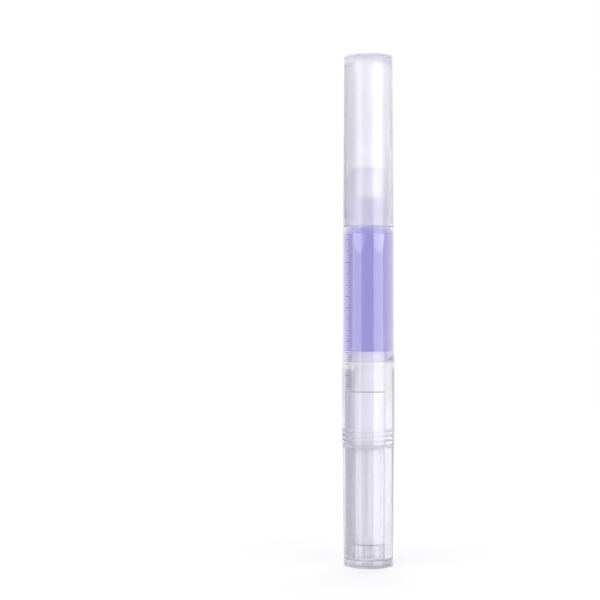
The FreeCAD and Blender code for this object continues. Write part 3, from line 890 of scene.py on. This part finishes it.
for piece in (tuft_core, bristles):
    piece.data.materials.append(nylon_bristle)
    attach(piece, "barrel")
    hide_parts("brush_bristles")

# Cap: a finely frosted polystyrene sleeve, closed at the top, that stands on the barrel's shoulder.
# A ridge in its bore clicks over the neck's bead, and its thick crown is rougher, with a rounded edge.
cap_lip, cap_top, cap_radius = reach("cap")
CAP_TOP = 5.92
CAP_WALL = 0.85
CAP_BORE_TOP = 5.05
CAP_CROWN = 2.0
CAP_TOP_ROUND = 0.4
CAP_LIP_ROUND = 0.06
RIDGE_GAP = 0.05
RIDGE = NECK + NECK_BEAD_PROUD + RIDGE_GAP
RIDGE_DROP = 0.9
RIDGE_HEIGHT = NECK_BEAD - RIDGE_DROP
RIDGE_RUN = 1.1
RIDGE_CREST_ROUND = 2.0
RIDGE_FOOT_ROUND = 1.5
CROWN_MATT = 0.5
cap_bore = cap_radius - CAP_WALL
ceiling = cap_top - CAP_CROWN


def cap_inside(height):
    """Radius of the cap's bore at a height, without its ridge."""
    return cap_bore - (cap_bore - CAP_BORE_TOP) / (ceiling - cap_lip) * (height - cap_lip)


ridge_top = RIDGE_HEIGHT + RIDGE_RUN
ridge_foot = RIDGE_HEIGHT - RIDGE_RUN
cap = turned("cap_clear", [
    (cap_bore, cap_lip, FINE_ROUND),
    (cap_radius, cap_lip, CAP_LIP_ROUND),
    (CAP_TOP, cap_top, CAP_TOP_ROUND),
    (0, cap_top),
    (0, ceiling),
    (CAP_BORE_TOP, ceiling, WIDE_ROUND),
    (cap_inside(ridge_top), ridge_top, RIDGE_FOOT_ROUND),
    (RIDGE, RIDGE_HEIGHT, RIDGE_CREST_ROUND),
    (cap_inside(ridge_foot), ridge_foot, RIDGE_FOOT_ROUND),
])
clear_cap = clear_plastic(
    "clear_cap", clear=0.82, tint=(0.98, 0.975, 0.995, 1), cloud=(0.955, 0.95, 0.985, 1),
    absorbed=(0.7, 0.68, 0.8, 1), density=65, polish=0.17, scratches=0.06, wave=0.005,
)
matted(clear_cap, cap_top - CAP_TOP_ROUND, cap_top + CAP_TOP_ROUND, CROWN_MATT)
cap.data.materials.append(clear_cap)
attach(cap, "cap")
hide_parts("cap")

# Level marks: a plain grey scale of fine strokes, pad printed up the side of the barrel.
# Every fifth stroke is longer, and the ink is a thin film with patches in it.
MARK_LOW = 44.0
MARK_HIGH = 81.0
MARK_PITCH = 0.55
MARK_EVERY = 5
MARK_STROKE = 0.16
MARK_INK = 0.01
MARK_LIFT = 0.001
MARK_EDGE = math.radians(-133)
MARK_SHORT = 1.3
MARK_LONG = 2.3
MARK_STEPS = 6
INK_SCALE = 2500
INK_DEEP = (0.14, 0.12, 0.22, 1)
INK_PALE = (0.28, 0.26, 0.38, 1)
INK_ROUGHNESS = 0.35
INK_UNEVEN = 0.3


def barrel_side(height):
    """Radius of the barrel's outside at a height."""
    share = min(1, max(0, (height - TAPER_FOOT) / (TAPER_TOP - TAPER_FOOT)))
    return barrel_radius + (FRONT - barrel_radius) * share


form = bmesh.new()
for number in range(int((MARK_HIGH - MARK_LOW) / MARK_PITCH) + 1):
    height = MARK_LOW + number * MARK_PITCH
    length = MARK_SHORT if number % MARK_EVERY else MARK_LONG
    side = barrel_side(height)
    rings = []
    for step in range(MARK_STEPS + 1):
        angle = MARK_EDGE + length / side * (step / MARK_STEPS - 1)
        rings.append([
            form.verts.new((
                (side + rise) * MM * math.cos(angle),
                (side + rise) * MM * math.sin(angle),
                (height + lift) * MM,
            ))
            for rise, lift in (
                (MARK_LIFT, 0), (MARK_INK, 0), (MARK_INK, MARK_STROKE), (MARK_LIFT, MARK_STROKE),
            )
        ])
    lofted(form, rings)
level_marks = finished("level_marks", form)
grey_ink = bpy.data.materials.new("grey_ink")
grey_ink.use_nodes = True
tree = grey_ink.node_tree
ink = tree.nodes["Principled BSDF"]
place = add_node(tree, "TexCoord").outputs["Object"]
patchy = noise(tree, place, INK_SCALE, detail=3)
rough = maths(tree, "ADD", maths(tree, "MULTIPLY", patchy, INK_UNEVEN), INK_ROUGHNESS)
tree.links.new(mixed(tree, patchy, INK_DEEP, INK_PALE), ink.inputs["Base Color"])
tree.links.new(rough, ink.inputs["Roughness"])
level_marks.data.materials.append(grey_ink)
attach(level_marks, "barrel")

# Floor: a plain pale table top that the pen stands on, white to the camera with a faint shadow.
# Its glow adds what the lamps leave short of white, which is more the farther from the pen. The clear
# plastic sees less of the glow at the pen's foot and on its left, where the pen shades the floor.
FLOOR_RADIUS = 0.6
FLOOR_SEGMENTS = 96
PAPER = (0.78, 0.77, 0.81, 1)
PAPER_ROUGHNESS = 0.9
FLOOR_GLOW = 0.41
FLOOR_GLOW_RISE = 0.6
FLOOR_SHADE = 0.95
FOOT_SHADE = (0.02, 0.012)
LEFT_EDGE = (0, -0.06)
FRONT_EDGE = (-0.5, -0.45)


def smooth_step(tree, value, edge):
    """Smooth step from 0 at the first end of an edge to 1 at the second."""
    step = add_node(
        tree, "MapRange", {"Value": value, "From Min": edge[0], "From Max": edge[1]},
        interpolation_type="SMOOTHSTEP",
    )
    return step.outputs["Result"]


def left_rear(tree, place):
    """1 where a place lies to the left or the rear left of the pen, else 0, with soft edges."""
    level = add_node(tree, "VectorMath", {0: place, 1: (1, 1, 0)}, operation="MULTIPLY").outputs[0]
    toward = add_node(tree, "VectorMath", {0: level}, operation="NORMALIZE").outputs[0]
    ways = add_node(tree, "SeparateXYZ", {0: toward}).outputs
    left = smooth_step(tree, ways["X"], LEFT_EDGE)
    return maths(tree, "MULTIPLY", left, smooth_step(tree, ways["Y"], FRONT_EDGE))


form = bmesh.new()
bmesh.ops.create_circle(form, cap_ends=True, radius=FLOOR_RADIUS, segments=FLOOR_SEGMENTS)
floor = finished("floor", form)
pale_floor = bpy.data.materials.new("pale_floor")
pale_floor.use_nodes = True
tree = pale_floor.node_tree
paper = tree.nodes["Principled BSDF"]
paper.inputs["Base Color"].default_value = PAPER
paper.inputs["Roughness"].default_value = PAPER_ROUGHNESS
place = add_node(tree, "TexCoord").outputs["Object"]
away = add_node(tree, "VectorMath", {0: place}, operation="LENGTH").outputs["Value"]
short = maths(tree, "ADD", maths(tree, "MULTIPLY", away, FLOOR_GLOW_RISE), FLOOR_GLOW)
shade = maths(tree, "MAXIMUM", left_rear(tree, place), smooth_step(tree, away, FOOT_SHADE))
rays = add_node(tree, "LightPath")
mirrored = maths(tree, "MAXIMUM", rays.outputs["Is Glossy Ray"], rays.outputs["Is Transmission Ray"])
seen = maths(tree, "MAXIMUM", rays.outputs["Is Camera Ray"], mirrored)
shaded = maths(tree, "MULTIPLY", maths(tree, "MULTIPLY", mirrored, shade), FLOOR_SHADE)
unshaded = maths(tree, "SUBTRACT", seen, shaded)
glow = add_node(tree, "Emission", {"Strength": maths(tree, "MULTIPLY", unshaded, short)})
top = add_node(tree, "AddShader", {0: paper.outputs[0], 1: glow.outputs[0]})
tree.links.new(top.outputs[0], tree.nodes["Material Output"].inputs["Surface"])
floor.data.materials.append(pale_floor)
floor.visible_glossy = False

# Shade boards: two curved grey boards a hand's breadth behind the pen on its left, one low and one high.
# Their grey is painted shade, standing for the pen's shadow on the floor there. Only the clear plastic
# shows them, and the white between them backs the oil.
BOARD_RADIUS = 0.1
BOARD_STEPS = 48
BOARD_START = math.radians(91)
BOARD_END = math.radians(208)
LOW_BOARD = (-0.02, 0.044)
LOW_SHADE_GREY = (0.58, 0.565, 0.655, 1)
HIGH_BOARD = (0.0965, 0.17)
HIGH_SHADE_GREY = (0.67, 0.66, 0.72, 1)
HIGH_BOARD_DROP = 0.0087
DROP_END = math.radians(150)


def shade_board(name, low, high, grey):
    """Curved board about the axis, grey with painted shade, that only gloss and clear plastic show; it
    casts no shadow.
    """
    form = bmesh.new()
    edges = []
    for step in range(BOARD_STEPS + 1):
        angle = BOARD_START + (BOARD_END - BOARD_START) * step / BOARD_STEPS
        across = (BOARD_RADIUS * math.cos(angle), BOARD_RADIUS * math.sin(angle))
        edges.append([form.verts.new((*across, height)) for height in (at_angle(low, angle), high)])
    for first, second in zip(edges, edges[1:]):
        form.faces.new((first[0], second[0], second[1], first[1]))
    board = finished(name, form)
    board.visible_camera = False
    board.visible_diffuse = False
    board.visible_shadow = False
    paint = bpy.data.materials.new(name)
    paint.use_nodes = True
    tree = paint.node_tree
    glow = add_node(tree, "Emission", {"Color": grey})
    tree.links.new(glow.outputs[0], tree.nodes["Material Output"].inputs["Surface"])
    board.data.materials.append(paint)


def high_board_foot(angle):
    """Lower edge of the high board, which drops towards the left."""
    share = (angle - BOARD_START) / (DROP_END - BOARD_START)
    return HIGH_BOARD[0] - HIGH_BOARD_DROP * min(share, 1)


# The boards' grey is painted shade: the pen's shadow on the floor behind its left side.
shade_board("low_shade_board", *LOW_BOARD, LOW_SHADE_GREY)
shade_board("high_shade_board", high_board_foot, HIGH_BOARD[1], HIGH_SHADE_GREY)

# Studio: white all round to the eye and in the clear plastic, and softer where it lights the pen.
# A soft box stands at the right of the camera, a strip and a fill at its left, and weaker lamps above
# and behind. Light bounces many times, because it runs a long way along the clear walls.
AMBIENT = 0.17
BOUNCES = 24
BEFORE_DIFFUSE = 0.5
LAMP_DISTANCE = 0.5
LAMP_HEIGHT = 0.065
cycles = bpy.context.scene.cycles
cycles.max_bounces = BOUNCES
cycles.glossy_bounces = BOUNCES
cycles.transmission_bounces = BOUNCES
world = bpy.data.worlds.new("studio")
world.use_nodes = True
bpy.context.scene.world = world
tree = world.node_tree
background = tree.nodes["Background"]
rays = add_node(tree, "LightPath")
mirrored = maths(tree, "MAXIMUM", rays.outputs["Is Glossy Ray"], rays.outputs["Is Transmission Ray"])
seen = maths(tree, "MAXIMUM", rays.outputs["Is Camera Ray"], mirrored)
undiffused = maths(tree, "LESS_THAN", rays.outputs["Diffuse Depth"], BEFORE_DIFFUSE)
white = maths(tree, "MULTIPLY", seen, undiffused)
ambient = (AMBIENT, AMBIENT, AMBIENT, 1)
tree.links.new(mixed(tree, white, ambient, (1, 1, 1, 1)), background.inputs["Color"])


def lamp(name, azimuth, width, height, radiance, rise=0):
    """Area lamp that faces the pen, at angles to the camera's right and above the level."""
    data = bpy.data.lights.new(name, "AREA")
    data.shape = "RECTANGLE"
    data.size = width
    data.size_y = height
    data.energy = radiance * math.pi * width * height
    holder = bpy.data.objects.new(name, data)
    bpy.context.scene.collection.objects.link(holder)
    aside = math.radians(azimuth)
    above = math.radians(rise)
    level = math.cos(above)
    out = Vector((math.sin(aside) * level, -math.cos(aside) * level, math.sin(above)))
    holder.location = out * LAMP_DISTANCE + Vector((0, 0, LAMP_HEIGHT))
    holder.rotation_euler = out.to_track_quat("Z", "Y").to_euler()
    holder.visible_camera = False
    holder.visible_transmission = False


lamp("soft_box", azimuth=44.5, width=0.435, height=0.36, radiance=3.6)
lamp("strip", azimuth=-40, width=0.105, height=0.36, radiance=2.8)
lamp("fill", azimuth=-62, width=0.28, height=0.36, radiance=2.0)
lamp("overhead", azimuth=-20, width=0.45, height=0.45, radiance=1.4, rise=72)
lamp("rear_fill", azimuth=170, width=0.5, height=0.36, radiance=1.4, rise=40)

# Camera: level, at the height of the pen's middle, a little to the left of it.
# Its place and angle frame the pen as the photograph does.
CAMERA_PLACE = (-0.0168, -0.380, 0.0652)
CAMERA_ANGLE = math.radians(21.95)
camera_data = bpy.data.cameras.new("camera")
camera_data.angle = CAMERA_ANGLE
camera = bpy.data.objects.new("camera", camera_data)
bpy.context.scene.collection.objects.link(camera)
camera.location = CAMERA_PLACE
camera.rotation_euler = (math.pi / 2, 0, 0)
bpy.context.scene.camera = camera
bpy.context.scene.view_settings.view_transform = "Standard"
